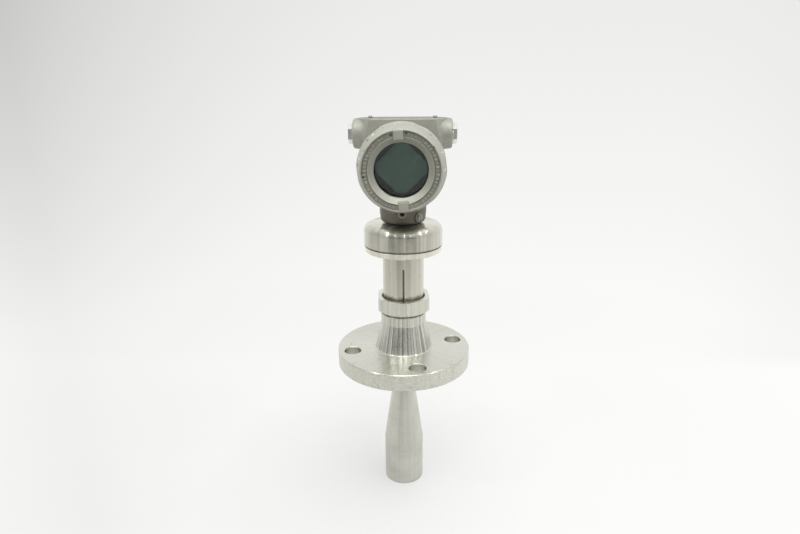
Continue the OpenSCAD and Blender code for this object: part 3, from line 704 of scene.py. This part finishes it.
def floor_as_mirrored(tree, x, y, r):
    """The floor in the metal: pale near the foot, with a painted shadow close round it that is deeper to its
    left, then the studio, dark in front beyond the cloth.
    """
    in_front = ramp(tree, calc(tree, "DIVIDE", y, r), -0.55, -0.85)
    lit = rest_of(tree, times(tree, in_front, ramp(tree, r, 1.12, 1.28), 0.85))
    distant = scaled(tree, room_tone(tree, x, y), lit)
    # Painted shadow: darker close to the foot, and more so to its left
    near_shadow = times(tree, ramp(tree, r, 0.02, 0.30, 0.78, 1.0),
                      ramp(tree, calc(tree, "DIVIDE", x, r), -0.8, 0.8, 0.90, 1.03))
    close = scaled(tree, (0.87, 0.87, 0.83), near_shadow)
    room = blend(tree, ramp(tree, r, 0.87, 1.04), close, distant)
    return add(tree, "Emission", {"Color": room, "Strength": 1.0}).outputs[0]


def stage_floor():
    s = FLOOR_HALF
    mesh = bpy.data.meshes.new("floor")
    mesh.from_pydata([(x, y, floor_z) for x, y in ((-s, -s), (s, -s), (s, s), (-s, s))], [], [(0, 1, 2, 3)])
    obj = bpy.data.objects.new("floor", mesh)
    bpy.context.scene.collection.objects.link(obj)
    mat, tree = new_material("floor")
    path = add(tree, "LightPath")
    x, y, _ = split(tree, add(tree, "TexCoord").outputs["Object"])
    r = distance(tree, x, y)
    dim_cloth = add(tree, "BsdfDiffuse", {"Color": (0.16, 0.16, 0.15, 1), "Roughness": 0.4}).outputs[0]
    shown = add(tree, "MixShader", {0: path.outputs["Is Glossy Ray"], 1: dim_cloth,
                                    2: floor_as_mirrored(tree, x, y, r)}).outputs[0]
    final = add(tree, "MixShader", {0: direct_view(tree, path), 1: shown, 2: floor_as_seen(tree, x, y, r)})
    tree.links.new(final.outputs[0], add(tree, "OutputMaterial").inputs[0])
    mesh.materials.append(mat)


def stage_world():
    world = bpy.data.worlds.new("studio")
    bpy.context.scene.world = world
    world.use_nodes = True
    tree = world.node_tree
    tree.nodes.clear()
    path = add(tree, "LightPath")
    x, y, z = split(tree, add(tree, "TexCoord").outputs["Generated"])
    away, u = slope(tree, x, y)
    wall = backdrop_tone(tree, u, calc(tree, "DIVIDE", z, away), ahead_of_camera(tree, u, y, 0.15, 0.4))
    low_front = times(tree, ramp(tree, y, -0.5, -0.8), ramp(tree, z, 0.10, 0.0))
    around = scaled(tree, room_tone(tree, x, y), rest_of(tree, times(tree, low_front, 0.8)))
    room = blend(tree, ramp(tree, z, 0.35, 0.85), around, (0.80, 0.81, 0.79))
    shade = blend(tree, path.outputs["Is Glossy Ray"], (0.60, 0.61, 0.60), room)
    shade = blend(tree, direct_view(tree, path), shade, blend(tree, wall, BLACK, PALE))
    sky = add(tree, "Background", {"Color": shade, "Strength": 1.0})
    tree.links.new(sky.outputs[0], add(tree, "OutputWorld").inputs[0])


def lamp(name, azimuth, elevation, away, width, height, power):
    """A soft lamp, aimed at the middle of the part. Azimuth 0 is on the camera's side."""
    light = bpy.data.lights.new(name, "AREA")
    light.shape = "RECTANGLE"
    light.size = width
    light.size_y = height
    light.energy = power
    obj = bpy.data.objects.new(name, light)
    bpy.context.scene.collection.objects.link(obj)
    a, e = math.radians(azimuth), math.radians(elevation)
    back = Vector((math.sin(a) * math.cos(e), -math.cos(a) * math.cos(e), math.sin(e)))
    obj.location = LAMPS_AIM + back * away
    obj.rotation_mode = "QUATERNION"
    obj.rotation_quaternion = back.to_track_quat("Z", "Y")


stage_floor()
stage_world()
LAMPS_AIM = Vector((0, 0, 0.12))
# (name, azimuth, elevation, distance, width, height, power)
for soft_lamp in (("lamp_high", 4, 68, 1.7, 0.9, 0.9, 7.5), ("lamp_a", -59, 50, 1.8, 0.12, 0.12, 2.2),
                  ("lamp_d", 68, 50, 1.8, 0.08, 0.08, 1.6), ("lamp_e", 98, 48, 1.8, 0.06, 0.06, 0.7)):
    lamp(*soft_lamp)
# Narrow upright lamps, which draw the bright lines on the steel: (azimuth, power)
for i, (azimuth, power) in enumerate(((-48, 0.6), (-23, 0.4), (5.6, 0.8), (24, 0.3), (35, 0.2), (78, 0.2))):
    lamp("strip_%d" % i, azimuth, 30, 1.8, 0.03, 0.6, power)

scene = bpy.context.scene
scene.view_settings.view_transform = "Standard"
